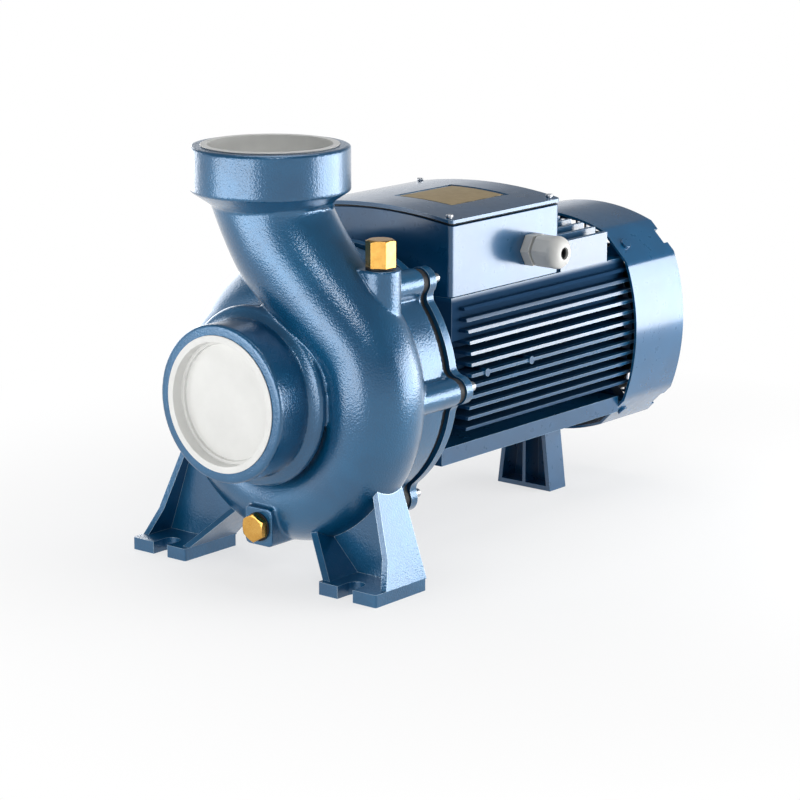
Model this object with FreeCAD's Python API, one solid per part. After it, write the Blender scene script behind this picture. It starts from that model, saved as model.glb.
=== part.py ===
"""Close-coupled centrifugal pump: cast volute casing, fin-cooled motor, terminal box and fan cowl."""

import FreeCAD
import Part
import math
import os

from FreeCAD import Vector

# Directions and the main sizes of the pump set
X_DIR = Vector(1, 0, 0)
Y_DIR = Vector(0, 1, 0)
Z_DIR = Vector(0, 0, 1)

overall_length = 530.0          # suction face to the back of the fan cowl
shaft_height = 156.6            # floor to shaft
port_height = 365.0             # floor to the discharge face
seat_gap = 0.3                  # clearance between loose-fitting curved faces
cut_room = 5.0                  # how far a cutter runs past the face that it opens
cast_overlap = 1.0              # how deep cast-on features run into their neighbours

# Pipe ports, both threaded for the same pipe
port_boss_radius = 67.0
port_bore_radius = 55.0
port_bore_depth = 34.0
port_edge_round = 2.0

# White plastic plugs pressed into the ports
plug_rim_radius = 58.0
plug_rim_thickness = 1.2
plug_wall = 2.5
plug_step_width = 2.8
plug_step_rise = 3.0
plug_floor_thickness = 2.0
suction_plug_depth = 12.0
discharge_plug_depth = 26.0

# Suction hub: boss, bead and shoulder, measured back from the suction face
boss_length = 35.0
bead_station = 43.0
bead_radius = 4.5
bead_ring_radius = 72.5
hub_neck_radius = 69.0
shoulder_round = 45.0
body_radius = 113.0
joint_radius = 114.0
shoulder_end = 106.0
joint_station = 155.0
joint_rim_length = 30.0
bead_foot_length = 2.0

# Scroll, growing anticlockwise as seen from the suction side, and its discharge neck
scroll_station = 86.5
scroll_outer_radius = 135.5
scroll_outer_growth = 43.5
scroll_growth_power = 2.4
scroll_tube_radius = 42.5
scroll_tube_growth = 18.0
scroll_start_angle = 120.0
scroll_end_angle = 380.0
scroll_step_angle = 20.0
discharge_station = 65.3
neck_radius = 48.5
neck_sections = 5
neck_scroll_pull = 38.0
neck_port_pull = 62.0
neck_overlap = 6.0
discharge_boss_height = 37.0
discharge_cone_height = 13.0
discharge_cone_step = 1.0

# Casing studs with their lugs: angles from the +X side, seen from the suction side
lug_angles = (0.0, 48.0, 132.0, 180.0, 240.0, 300.0)
free_lug_angles = (132.0, 180.0)    # where the scroll is still too small to reach the lug
lug_circle_radius = 119.5
lug_radius = 12.5
lug_fillet = 9.0
lug_start = 98.0
free_lug_start = 125.0
joint_lip = 3.0
stud_radius = 4.0
stud_hole_clearance = 0.3
stud_grip = 16.0
stud_end = 15.0
stud_hole_room = 1.0
nut_across_flats = 13.0
nut_height = 6.5
nut_room = 0.8

# Seal plate between casing and bracket
gasket_thickness = 7.0
gasket_inset = 3.0

# Motor bracket
bracket_radius = 115.0
bracket_ring_thickness = 8.5
bracket_slope = 6.0
bracket_rim_step = 2.0
bracket_neck_radius = 97.0
bracket_end = 187.5

# Priming plug with its boss on the scroll
priming_neck_reach = 54.8     # from the neck's middle line, square to it
priming_station = 94.0
priming_boss_radius = 17.0
priming_boss_top = 268.0
priming_boss_bottom = 190.0
plug_hex_across_flats = 22.0
priming_hex_height = 23.0
hex_crown_height = 1.6
hex_crown_inset = 2.8
washer_radius = 12.5
washer_thickness = 1.5
plug_thread_radius = 6.5
plug_thread_length = 10.0
plug_thread_clearance = 0.3

# Drain plug with its square pad under the scroll
drain_z = 42.5
drain_face_station = 45.5
drain_pad_width = 30.0
drain_pad_height = 33.0
drain_pad_corner = 4.0
drain_pad_depth = 34.0
drain_hex_height = 7.0

# Front feet under the casing
foot_front = 34.5
foot_outer_x = 138.0
foot_width = 62.4
foot_length = 65.8
foot_thickness = 11.0
foot_slot_x = 105.0
foot_slot_width = 16.5
foot_slot_depth = 21.5
foot_wall = 6.0
foot_web_setback = 42.0
foot_plate_lean = 0.355         # inward run of the outer plate for each unit of height
foot_plate_top = 94.0
foot_inner_top_x = 38.0
foot_inner_top_z = 49.0
foot_corner = 2.0
plate_front_low = 13.5          # setback of the outer plate's front edge at the base
plate_front_knee = 25.0
plate_knee_z = 33.0
plate_front_high = 36.0
inner_rib_front_low = 6.0
inner_rib_front_high = 31.0
inner_rib_lean = 1.3            # width of the leaning rib over that of an upright one

# Motor frame with its cooling fins
frame_rear_gap = 69.0           # back of the frame to the back of the cowl
frame_core_radius = 74.0
fin_thickness = 2.8
fin_half_width = 96.0
fin_envelope_radius = 200.0
fin_corner_reach = 62.0
fin_start = 215.0
side_fin_pitch = 9.6
side_fins_above = 6             # level fins above the one at the shaft's height
side_fins_below = 5
top_fin_steps = 6               # upright fins on each side of the middle one
top_fin_crest = 262.0
top_fin_edge = 252.0            # top of the outermost upright fin
top_fin_end = 434.0
fin_blank_room = 20.0
saddle_half_width = 82.0
saddle_depth = 38.0
saddle_rear_gap = 1.0
frame_pad_radius = 3.4
frame_pad_stations = (236.0, 300.0)
frame_pad_height = 1.2
frame_boss_reach = 80.0
frame_boss_z = 109.0
frame_boss_size = 11.5
frame_boss_length = 13.0

# Motor base block under the frame
base_half_width = 85.0
base_bottom = 80.0
base_top = 95.0
base_start = 187.5
base_rear_gap = 9.0

# Terminal box on the frame
box_front = 204.0
box_rear = 361.5
box_half_width = 81.0
box_bottom = 224.6
box_side_top = 286.5
box_crest = 293.8
box_wall = 4.0
box_corner = 5.0
box_seal_thickness = 1.6
box_seal_inset = 1.5
lid_thickness = 3.6
lid_overhang = 0.6
lid_recess_depth = 1.0
lid_screw_inset = 7.0
lid_screw_radius = 3.2
lid_screw_shank_radius = 2.2
lid_screw_height = 2.2
lid_screw_length = 6.0
plate_length = 74.0
plate_width = 58.0
plate_x = 17.0
plate_station = 286.5
plate_thickness = 0.6
plate_margin = 4.0

# Cable gland on the right face of the box
gland_station = 317.7
gland_z = 252.0
gland_hex = 27.0
gland_hex_length = 9.0
gland_body_length = 16.0
gland_tube_radius = 10.5
gland_spigot_length = 8.0
gland_gap = 2.5                 # waist between the hexagon and the cap
gland_cap_radius = 14.5
gland_cap_length = 26.0
gland_cap_round = 8.0
gland_cap_tip = 2.0             # round collar between the cap's flats and its dome
gland_hole_radius = 5.5
gland_mouth_radius = 5.4
gland_seal_clearance = 0.1
gland_seal_bore = 4.0
gland_seal_length = 12.0
gland_seal_recess = 2.0
gland_thread_radius = 11.0

# Fan cowl, its grille and the fan
cowl_length = 77.5
cowl_half_width = 104.0
cowl_side_radius = 180.0
cowl_corner_reach = 65.5
cowl_wall = 2.5
cowl_corner_wall = 1.0          # part of the wall taken off the corner's reach inside
cowl_rear_lip = 6.0
cowl_notch_width = 16.0
cowl_notch_depth = 6.0
grille_thickness = 2.5
grille_pitch = 10.0
grille_bar = 2.2
grille_inset = 3.0
grille_corner_inset = 1.2
grille_rim = 4.0
cowl_screw_radius = 3.0
cowl_screw_head_radius = 5.0
cowl_screw_head_height = 2.5
cowl_screw_length = 12.0
cowl_screw_setback = 15.5
screw_hole_depth = 14.0
shield_thickness = 14.0
shield_radius = 84.0
shield_hub_radius = 26.0
shield_hub_length = 6.0
shield_ear_width = 16.0
shield_ear_root = 50.0
shaft_radius = 9.0
shaft_rear_gap = 14.0
fan_rear_gap = 17.0
fan_length = 28.0
fan_hub_radius = 22.0
fan_radius = 86.0
fan_plate = 3.0
fan_blade_count = 7
fan_blade_thickness = 3.0
fan_blade_inner = 18.0

# Rear foot under the motor
rear_foot_setback = 40.5
rear_foot_depth = 25.0
rear_foot_base_half = 31.0
rear_foot_top_half = 21.0
rear_foot_wall = 4.5
rear_foot_rib = 3.5
rear_bolt_x = 12.0
rear_bolt_forward = 2.0
rear_bolt_room = 1.0
rear_bolt_radius = 3.0
rear_bolt_head = 10.0
rear_bolt_head_height = 4.0
rear_bolt_top = 88.0

# Stations run back from the suction face; the origin lies under the middle of the length
middle_station = (overall_length - plug_rim_thickness) / 2

# Places that follow from the sizes above
frame_end = overall_length - frame_rear_gap
base_end = frame_end - base_rear_gap
cowl_start = overall_length - cowl_length
cowl_screw_station = cowl_start + cowl_screw_setback
shaft_end = overall_length - shaft_rear_gap
fan_end = overall_length - fan_rear_gap
fan_start = fan_end - fan_length
rear_foot_front = frame_end - rear_foot_setback
rear_bolt_station = rear_foot_front + rear_foot_depth / 2 - rear_bolt_forward
bracket_start = joint_station + gasket_thickness
bracket_ring_end = bracket_start + bracket_ring_thickness
gland_face = box_half_width
gland_cap_start = gland_face + gland_hex_length + gland_gap


def at(station):
    """Y coordinate of a station along the shaft."""
    return station - middle_station


def shaft_point(station, radius=0.0, angle=0.0):
    """Point at a station, a radius and an angle in degrees about the shaft."""
    turn = math.radians(angle)
    return Vector(radius * math.cos(turn), at(station), shaft_height + radius * math.sin(turn))


def block(x0, x1, station0, station1, z0, z1):
    """Rectangular solid between two corners."""
    return Part.makeBox(x1 - x0, station1 - station0, z1 - z0, Vector(x0, at(station0), z0))


def rod(radius, start, direction, length):
    """Round bar from a point along a direction."""
    return Part.makeCylinder(radius, length, start, direction)


def shaft_rod(radius, station0, station1, x=0.0, z=shaft_height):
    """Round bar that lies along the shaft direction."""
    return rod(radius, Vector(x, at(station0), z), Y_DIR, station1 - station0)


def hexagon(across_flats, start, direction, length, turn=0.0):
    """Hexagonal prism from a point along a direction."""
    side = X_DIR if abs(direction.x) < 0.5 else Y_DIR
    other = direction.cross(side)
    reach = across_flats / math.sqrt(3)
    points = []
    for step in range(7):
        angle = math.radians(60 * step + turn)
        points.append(start + side * (reach * math.cos(angle)) + other * (reach * math.sin(angle)))
    return Part.Face(Part.makePolygon(points)).extrude(direction * length)


def turned(outline, centre, axis, radial):
    """Solid of revolution: outline holds (along, radius) pairs or an (along, radius, 'arc') mid point."""
    def place(along, radius):
        return centre + axis * along + radial * radius

    edges = []
    start = outline[0]
    mid = None
    for entry in outline[1:] + outline[:1]:
        if len(entry) == 3:
            mid = entry
            continue
        if mid is None:
            edges.append(Part.LineSegment(place(*start), place(*entry)).toShape())
        else:
            edges.append(Part.Arc(place(*start), place(mid[0], mid[1]), place(*entry)).toShape())
        start = entry
        mid = None
    face = Part.Face(Part.Wire(edges))
    return face.revolve(centre, axis, 360)


def arc_middle(centre, radius, angle):
    """Mid point entry of an arc in an outline."""
    turn = math.radians(angle)
    return (centre[0] + radius * math.cos(turn), centre[1] + radius * math.sin(turn), "arc")


def prism_along_shaft(points, station0, station1):
    """Solid of an (x, z) polygon that runs between two stations."""
    corners = [Vector(x, at(station0), z) for x, z in points]
    face = Part.Face(Part.makePolygon(corners + corners[:1]))
    return face.extrude(Y_DIR * (station1 - station0))


def prism_across(points, x0, x1):
    """Solid of a (station, z) polygon that runs between two x values."""
    corners = [Vector(x0, at(station), z) for station, z in points]
    face = Part.Face(Part.makePolygon(corners + corners[:1]))
    return face.extrude(X_DIR * (x1 - x0))


def bulged_square(half, reach, side_radius, station0, station1):
    """Square prism about the shaft with slightly round sides and cut corners."""
    drop = side_radius - math.sqrt(side_radius ** 2 - reach ** 2)
    flat = half - drop
    edges = []
    for quarter in range(4):
        spin = math.radians(90 * quarter)

        def place(u, v):
            x = u * math.cos(spin) - v * math.sin(spin)
            z = u * math.sin(spin) + v * math.cos(spin)
            return Vector(x, at(station0), shaft_height + z)

        edges.append(Part.Arc(place(flat, -reach), place(half, 0), place(flat, reach)).toShape())
        if flat - reach > 0.01:
            edges.append(Part.LineSegment(place(flat, reach), place(reach, flat)).toShape())
    return Part.Face(Part.Wire(edges)).extrude(Y_DIR * (station1 - station0))


def joined(shapes):
    """One solid from several overlapping ones."""
    return shapes[0].fuse(shapes[1:]).removeSplitter()


def mirrored(shape):
    """Copy on the other side of the pump's middle plane."""
    return shape.mirror(Vector(0, 0, 0), X_DIR)


def scroll_tube_at(angle):
    """Radius of the scroll's tube at an angle."""
    left = max(0.0, 360.0 - angle) / (360.0 - scroll_start_angle)
    return scroll_tube_radius - scroll_tube_growth * left


def scroll_centre_at(angle):
    """Distance of the tube's centre from the shaft at an angle."""
    left = max(0.0, 360.0 - angle) / (360.0 - scroll_start_angle)
    outer = scroll_outer_radius - scroll_outer_growth * left ** scroll_growth_power
    return outer - scroll_tube_at(angle)


def ring_wire(centre, direction, radius):
    """Circle as a wire."""
    return Part.Wire(Part.Circle(centre, direction, radius).toShape())


def neck_line():
    """Middle line of the neck, from the end of the scroll up into the discharge boss."""
    start = shaft_point(scroll_station, scroll_centre_at(scroll_end_angle), scroll_end_angle)
    turn = math.radians(scroll_end_angle)
    pull = start + Vector(-math.sin(turn), 0, math.cos(turn)) * neck_scroll_pull
    top = Vector(0, at(discharge_station), port_height - discharge_boss_height + neck_overlap)
    curve = Part.BezierCurve()
    curve.setPoles([start, pull, top - Z_DIR * neck_port_pull, top])
    return curve


def beside_neck(height, reach):
    """X of the point at a height that lies a reach to the right of the neck's middle line."""
    curve = neck_line()
    low, high = 0.0, 1.0
    while high - low > 0.0001:
        middle = (low + high) / 2
        if curve.value(middle).z < height:
            low = middle
        else:
            high = middle
    return curve.value(low).x + reach / curve.tangent(low)[0].z


def scroll_and_neck():
    """The scroll's tube and the neck that sweeps up to the discharge boss."""
    wires = []
    count = round((scroll_end_angle - scroll_start_angle) / scroll_step_angle)
    for step in range(count + 1):
        angle = scroll_start_angle + step * scroll_step_angle
        centre = shaft_point(scroll_station, scroll_centre_at(angle), angle)
        turn = math.radians(angle)
        tangent = Vector(-math.sin(turn), 0, math.cos(turn))
        wires.append(ring_wire(centre, tangent, scroll_tube_at(angle)))
    curve = neck_line()
    for step in range(1, neck_sections + 1):
        part = step / neck_sections
        radius = scroll_tube_radius + (neck_radius - scroll_tube_radius) * part
        wires.append(ring_wire(curve.value(part), curve.tangent(part)[0], radius))
    return Part.makeLoft(wires, True, False)


def hub_body():
    """Turned part of the casing: suction boss, bead, shoulder and joint rim."""
    corner = port_edge_round
    bead = (bead_station, bead_ring_radius)
    bead_end = bead_station + bead_radius
    shoulder = (shoulder_end, body_radius - shoulder_round)
    shoulder_start = shoulder_end - shoulder_round
    outline = [
        (port_bore_depth, 0.0),
        (port_bore_depth, port_bore_radius),
        (0.0, port_bore_radius),
        (0.0, port_boss_radius - corner),
        arc_middle((corner, port_boss_radius - corner), corner, 135),
        (corner, port_boss_radius),
        (boss_length, port_boss_radius),
        (bead_station - bead_radius, bead_ring_radius),
        arc_middle(bead, bead_radius, 90),
        (bead_end, bead_ring_radius),
        (bead_end + bead_foot_length, hub_neck_radius),
        (shoulder_start, shoulder[1]),
        arc_middle(shoulder, shoulder_round, 135),
        (shoulder_end, body_radius),
        (joint_station - joint_rim_length, joint_radius),
        (joint_station, joint_radius),
        (joint_station, 0.0),
    ]
    return turned(outline, shaft_point(0), Y_DIR, X_DIR)


def discharge_boss():
    """Turned boss of the upper port with the cone under it."""
    corner = port_edge_round
    low = discharge_boss_height
    outline = [
        (-port_bore_depth, 0.0),
        (-port_bore_depth, port_bore_radius),
        (0.0, port_bore_radius),
        (0.0, port_boss_radius - corner),
        arc_middle((-corner, port_boss_radius - corner), corner, 45),
        (-corner, port_boss_radius),
        (-low, port_boss_radius),
        (-low - discharge_cone_height, neck_radius - discharge_cone_step),
        (-low - discharge_cone_height, 0.0),
    ]
    return turned(outline, Vector(0, at(discharge_station), port_height), Z_DIR, X_DIR)


priming_x = beside_neck(priming_boss_top, priming_neck_reach)


def priming_boss():
    """Upright boss of the priming plug with the flat-sided web that ties it to the neck."""
    rise = priming_boss_top - priming_boss_bottom
    base = Vector(priming_x, at(priming_station), priming_boss_bottom)
    post = rod(priming_boss_radius, base, Z_DIR, rise)
    web = block(0, priming_x, priming_station - priming_boss_radius,
                priming_station + priming_boss_radius, priming_boss_bottom, priming_boss_top)
    return [post, web]


def lug_spot(angle):
    """Point on the middle line of a lug."""
    return shaft_point(0, lug_circle_radius, angle)


def volute_casing():
    """Cast casing with both ports, its lugs and the two plug bosses, without its feet."""
    body = hub_body()
    pieces = [scroll_and_neck(), discharge_boss()] + priming_boss() + [drain_pad()]
    for angle in lug_angles:
        spot = lug_spot(angle)
        front = free_lug_start if angle in free_lug_angles else lug_start
        pieces.append(shaft_rod(lug_radius, front, joint_station, spot.x, spot.z))
    pieces.append(lugged_disc(joint_radius, lug_radius, joint_station - joint_lip, joint_station))
    body = body.fuse(pieces)
    holes = [shaft_rod(port_bore_radius, 0.0, port_bore_depth)]
    port_floor = Vector(0, at(discharge_station), port_height - port_bore_depth)
    holes.append(rod(port_bore_radius, port_floor, Z_DIR, port_bore_depth))
    holes += stud_holes(joint_station - stud_grip - stud_hole_room, joint_station)
    thread_hole = plug_thread_radius + plug_thread_clearance
    thread_depth = plug_thread_length + stud_hole_room
    boss_top = Vector(priming_x, at(priming_station), priming_boss_top)
    holes.append(rod(thread_hole, boss_top, -Z_DIR, thread_depth))
    drain_mouth = Vector(0, at(drain_face_station), drain_z)
    holes.append(rod(thread_hole, drain_mouth, Y_DIR, thread_depth))
    return body.cut(holes).removeSplitter()


def drain_pad():
    """Square pad with round corners that carries the drain plug."""
    half = drain_pad_width / 2
    pad = block(-half, half, drain_face_station, drain_face_station + drain_pad_depth,
                drain_z - drain_pad_height / 2, drain_z + drain_pad_height / 2)
    long_edges = [edge for edge in pad.Edges if abs(edge.tangentAt(0).y) > 0.9]
    return pad.makeFillet(drain_pad_corner, long_edges)


def casing_foot():
    """Right front foot: slotted base, upright web and a rib on each side."""
    inner_x = foot_outer_x - foot_width
    rear = foot_front + foot_length
    base = block(inner_x, foot_outer_x, foot_front, rear, 0, foot_thickness)
    corners = [edge for edge in base.Edges if abs(edge.tangentAt(0).z) > 0.9]
    base = base.makeFillet(foot_corner, corners)
    half_slot = foot_slot_width / 2
    slot_end = foot_front + foot_slot_depth - half_slot
    slot = block(foot_slot_x - half_slot, foot_slot_x + half_slot, foot_front - cut_room, slot_end,
                 -cut_room, foot_thickness + cut_room)
    slot_low = Vector(foot_slot_x, at(slot_end), -cut_room)
    slot_round = rod(half_slot, slot_low, Z_DIR, foot_thickness + 2 * cut_room)
    base = base.cut([slot, slot_round])

    plate_top_x = foot_outer_x - foot_plate_lean * (foot_plate_top - foot_thickness)
    low = foot_thickness - cast_overlap
    web_start = foot_front + foot_web_setback
    web = prism_along_shaft(
        [(inner_x, low), (inner_x, foot_thickness), (foot_inner_top_x, foot_inner_top_z),
         (plate_top_x, foot_plate_top), (foot_outer_x, foot_thickness), (foot_outer_x, low)],
        web_start, web_start + foot_wall)

    lean = foot_wall * inner_rib_lean
    inner_rib = prism_along_shaft(
        [(inner_x, low), (inner_x, foot_thickness), (foot_inner_top_x, foot_inner_top_z),
         (foot_inner_top_x + lean, foot_inner_top_z), (inner_x + lean, foot_thickness),
         (inner_x + lean, low)], foot_front, rear)
    inner_side = prism_across(
        [(foot_front + inner_rib_front_low, low), (foot_front + inner_rib_front_low, foot_thickness),
         (foot_front + inner_rib_front_high, foot_inner_top_z), (rear, foot_inner_top_z), (rear, low)],
        0, foot_outer_x)
    plate = prism_along_shaft(
        [(foot_outer_x, low), (foot_outer_x, foot_thickness), (plate_top_x, foot_plate_top),
         (plate_top_x - foot_wall, foot_plate_top), (foot_outer_x - foot_wall, foot_thickness),
         (foot_outer_x - foot_wall, low)], foot_front, rear)
    plate_side = prism_across(
        [(foot_front + plate_front_low, low), (foot_front + plate_front_low, foot_thickness),
         (foot_front + plate_front_knee, plate_knee_z), (foot_front + plate_front_high, foot_plate_top),
         (rear, foot_plate_top), (rear, low)], 0, foot_outer_x + cut_room)
    return joined([base, web, inner_rib.common(inner_side), plate.common(plate_side)])


def port_plug(centre, inward, radial, depth):
    """Plastic cup with a thin rim that closes a pipe port."""
    wall = port_bore_radius - seat_gap
    hollow = wall - plug_wall
    step = hollow - plug_step_width
    outline = [
        (depth + plug_floor_thickness, 0.0),
        (depth + plug_floor_thickness, wall),
        (0.0, wall),
        (0.0, plug_rim_radius),
        (-plug_rim_thickness, plug_rim_radius),
        (-plug_rim_thickness, hollow),
        (depth - plug_step_rise, hollow),
        (depth - plug_step_rise, step),
        (depth, step),
        (depth, 0.0),
    ]
    return turned(outline, centre, inward, radial)


def threaded_plug(seat, outward, hex_height):
    """Brass plug with a hexagon head, seated on its washer."""
    head = hexagon(plug_hex_across_flats, seat + outward * washer_thickness, outward, hex_height, 30)
    reach = plug_hex_across_flats / math.sqrt(3)
    crown = turned(
        [(0.0, 0.0), (0.0, reach), (hex_height - hex_crown_height, reach),
         (hex_height, reach - hex_crown_inset), (hex_height, 0.0)],
        seat + outward * washer_thickness, outward, outward.cross(X_DIR))
    thread = rod(plug_thread_radius, seat - outward * plug_thread_length, outward,
                 plug_thread_length + washer_thickness + cast_overlap)
    return joined([head.common(crown), thread])


def plug_washer(seat, outward):
    """Flat sealing washer under a threaded plug."""
    disc = rod(washer_radius, seat, outward, washer_thickness)
    return disc.cut(rod(plug_thread_radius, seat, outward, washer_thickness))


def lugged_disc(radius, lug, station0, station1):
    """Disc about the shaft with a round lug at every stud and fillets beside the lugs."""
    reach = radius + lug_fillet
    span = lug + lug_fillet
    cosine = (lug_circle_radius ** 2 + reach ** 2 - span ** 2) / (2 * lug_circle_radius * reach)
    offset = math.degrees(math.acos(cosine))
    edges = []
    for number, angle in enumerate(lug_angles):
        centre = shaft_point(station0, lug_circle_radius, angle)
        rims = []
        lugs = []
        mids = []
        for side in (-1, 1):
            hollow = shaft_point(station0, reach, angle + side * offset)
            rims.append(shaft_point(station0, radius, angle + side * offset))
            lugs.append(hollow + (centre - hollow) * (lug_fillet / span))
            inward = (rims[-1] - hollow) + (lugs[-1] - hollow)
            mids.append(hollow + inward.normalize() * lug_fillet)
        tip = shaft_point(station0, lug_circle_radius + lug, angle)
        edges.append(Part.Arc(rims[0], mids[0], lugs[0]).toShape())
        edges.append(Part.Arc(lugs[0], tip, lugs[1]).toShape())
        edges.append(Part.Arc(lugs[1], mids[1], rims[1]).toShape())
        following = lug_angles[(number + 1) % len(lug_angles)]
        gap = (following - angle) % 360.0
        half_way = shaft_point(station0, radius, angle + gap / 2)
        next_rim = shaft_point(station0, radius, following - offset)
        edges.append(Part.Arc(rims[1], half_way, next_rim).toShape())
    return Part.Face(Part.Wire(edges)).extrude(Y_DIR * (station1 - station0))


def stud_holes(station0, station1):
    """Clearance holes for the casing studs, open at their rear end."""
    holes = []
    for angle in lug_angles:
        spot = lug_spot(angle)
        radius = stud_radius + stud_hole_clearance
        holes.append(shaft_rod(radius, station0, station1 + cut_room, spot.x, spot.z))
    return holes


def casing_gasket():
    """Dark seal plate, set back from the rims beside it."""
    plate = lugged_disc(joint_radius - gasket_inset, lug_radius - gasket_inset / 2,
                        joint_station, bracket_start)
    return plate.cut(stud_holes(joint_station - cut_room, bracket_start))


def motor_bracket():
    """Ring with lugs that carries the casing on the motor."""
    ring = lugged_disc(bracket_radius, lug_radius, bracket_start, bracket_ring_end)
    rim = bracket_radius - bracket_rim_step
    outline = [(bracket_start, 0.0), (bracket_start, rim), (bracket_ring_end, rim),
               (bracket_ring_end + bracket_slope, bracket_neck_radius),
               (bracket_end, bracket_neck_radius), (bracket_end, 0.0)]
    body = joined([ring, turned(outline, shaft_point(0), Y_DIR, X_DIR)])
    seat_radius = nut_across_flats / math.sqrt(3) + nut_room
    seats = []
    for angle in lug_angles:
        spot = lug_spot(angle)
        seats.append(shaft_rod(seat_radius, bracket_ring_end, bracket_end, spot.x, spot.z))
    return body.cut(stud_holes(bracket_start - cut_room, bracket_ring_end) + seats)


def casing_stud(angle):
    """Stud through a bracket lug into the casing, with its hexagon nut."""
    spot = lug_spot(angle)
    front = joint_station - stud_grip
    shank = shaft_rod(stud_radius, front, bracket_ring_end + stud_end, spot.x, spot.z)
    seat = Vector(spot.x, at(bracket_ring_end), spot.z)
    nut = hexagon(nut_across_flats, seat, Y_DIR, nut_height)
    return joined([shank, nut])


def side_fins():
    """Level cooling fins on both sides, cut to the frame's outline."""
    reach = fin_half_width + fin_blank_room
    envelope = bulged_square(fin_half_width, fin_corner_reach, fin_envelope_radius,
                             fin_start, frame_end)
    fins = []
    for step in range(-side_fins_below, side_fins_above + 1):
        height = shaft_height + step * side_fin_pitch
        plate = block(-reach, reach, fin_start, frame_end,
                      height - fin_thickness / 2, height + fin_thickness / 2)
        fins.append(plate.common(envelope))
    return fins


def top_fins():
    """Upright fins behind the terminal box, under one shallow arch."""
    start = box_rear + saddle_rear_gap
    outermost = saddle_half_width - fin_thickness / 2
    rise = top_fin_crest - top_fin_edge
    radius = (outermost ** 2 + rise ** 2) / (2 * rise)
    arch = rod(radius, Vector(0, at(start), top_fin_crest - radius), Y_DIR, top_fin_end - start)
    fins = []
    for step in range(-top_fin_steps, top_fin_steps + 1):
        middle = outermost * step / top_fin_steps
        plate = block(middle - fin_thickness / 2, middle + fin_thickness / 2, start, top_fin_end,
                      box_bottom - saddle_depth / 2, top_fin_crest)
        fins.append(plate.common(arch))
    return fins


def motor_frame():
    """Cast frame: round core, level side fins, saddle for the terminal box and upright top fins."""
    core = shaft_rod(frame_core_radius, bracket_end, frame_end)
    saddle = block(-saddle_half_width, saddle_half_width, box_front, frame_end,
                   box_bottom - saddle_depth, box_bottom)
    pieces = [saddle] + side_fins() + top_fins() + frame_pads() + frame_bosses()
    seat = block(-fin_half_width, fin_half_width, box_front, box_rear, box_bottom, box_crest)
    bolt_room = rear_bolt_rods(rear_bolt_radius + seat_gap, base_bottom,
                               rear_bolt_top + rear_bolt_room)
    return core.fuse(pieces).cut([seat] + bolt_room).removeSplitter()


def frame_pads():
    """Small round pads on the edge of the fin at the shaft's height, on both sides."""
    pads = []
    for station in frame_pad_stations:
        low = Vector(frame_core_radius, at(station), shaft_height)
        pad = rod(frame_pad_radius, low, X_DIR, fin_half_width + frame_pad_height - frame_core_radius)
        pads += [pad, mirrored(pad)]
    return pads


def frame_bosses():
    """Square bosses in front of the lower fins, one on each side."""
    half = frame_boss_size / 2
    boss = block(0, frame_boss_reach, bracket_end, bracket_end + frame_boss_length,
                 frame_boss_z - half, frame_boss_z + half)
    return [boss, mirrored(boss)]


def motor_base():
    """Flat base block cast under the frame."""
    return block(-base_half_width, base_half_width, base_start, base_end, base_bottom, base_top)


def terminal_box():
    """Arched box on the frame's saddle, open on top under its lid."""
    outer = arched_prism(box_half_width, box_front, box_rear, box_bottom, box_side_top, box_crest)
    inner = arched_prism(box_half_width - box_wall, box_front + box_wall, box_rear - box_wall,
                         box_bottom + box_wall, box_side_top + cut_room, box_crest + cut_room)
    hole = rod(gland_thread_radius + seat_gap, Vector(0, at(gland_station), gland_z), X_DIR,
               box_half_width + cut_room)
    return outer.cut([inner, hole])


def arched_prism(half, station0, station1, z0, side_top, crest, corner=box_corner):
    """Prism with an arched top and round upright corners."""
    left_low = Vector(-half, at(station0), z0)
    right_low = Vector(half, at(station0), z0)
    right_top = Vector(half, at(station0), side_top)
    left_top = Vector(-half, at(station0), side_top)
    edges = [Part.LineSegment(left_low, right_low).toShape(),
             Part.LineSegment(right_low, right_top).toShape(),
             Part.Arc(right_top, Vector(0, at(station0), crest), left_top).toShape(),
             Part.LineSegment(left_top, left_low).toShape()]
    prism = Part.Face(Part.Wire(edges)).extrude(Y_DIR * (station1 - station0))
    plan = block(-half, half, station0, station1, z0 - cut_room, crest + cut_room)
    uprights = [edge for edge in plan.Edges if abs(edge.tangentAt(0).z) > 0.9]
    return prism.common(plan.makeFillet(corner, uprights))


def arched_sheet(half, station0, station1, rise, thickness, corner=box_corner):
    """Sheet that follows the box's arch, a rise above its upper edge."""
    upper = arched_prism(half, station0, station1, box_bottom, box_side_top + rise + thickness,
                         box_crest + rise + thickness, corner)
    lower = arched_prism(half + cut_room, station0 - cut_room, station1 + cut_room,
                         box_bottom - cut_room, box_side_top + rise, box_crest + rise, corner)
    return upper.cut(lower)


def box_gasket():
    """Thin dark seal between the box and its lid."""
    inset = box_seal_inset
    sheet = arched_sheet(box_half_width - inset, box_front + inset, box_rear - inset,
                         0.0, box_seal_thickness)
    window = arched_sheet(box_half_width - box_wall, box_front + box_wall, box_rear - box_wall,
                          -cut_room, box_seal_thickness + 2 * cut_room)
    return sheet.cut(window)


def plate_block(margin, z0, z1):
    """Upright block over the name plate's place."""
    half_x = plate_width / 2 + margin
    half_y = plate_length / 2 + margin
    return block(plate_x - half_x, plate_x + half_x, plate_station - half_y, plate_station + half_y, z0, z1)


def box_lid():
    """Arched lid with a shallow field for the name plate."""
    over = lid_overhang
    lid = arched_sheet(box_half_width + over, box_front - over, box_rear + over,
                       box_seal_thickness, lid_thickness)
    field = arched_sheet(box_half_width, box_front, box_rear,
                         box_seal_thickness + lid_thickness - lid_recess_depth, cut_room)
    field = field.common(plate_block(plate_margin, box_bottom, box_crest + lid_screw_length + cut_room))
    return lid.cut([field] + lid_screw_holes())


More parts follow.
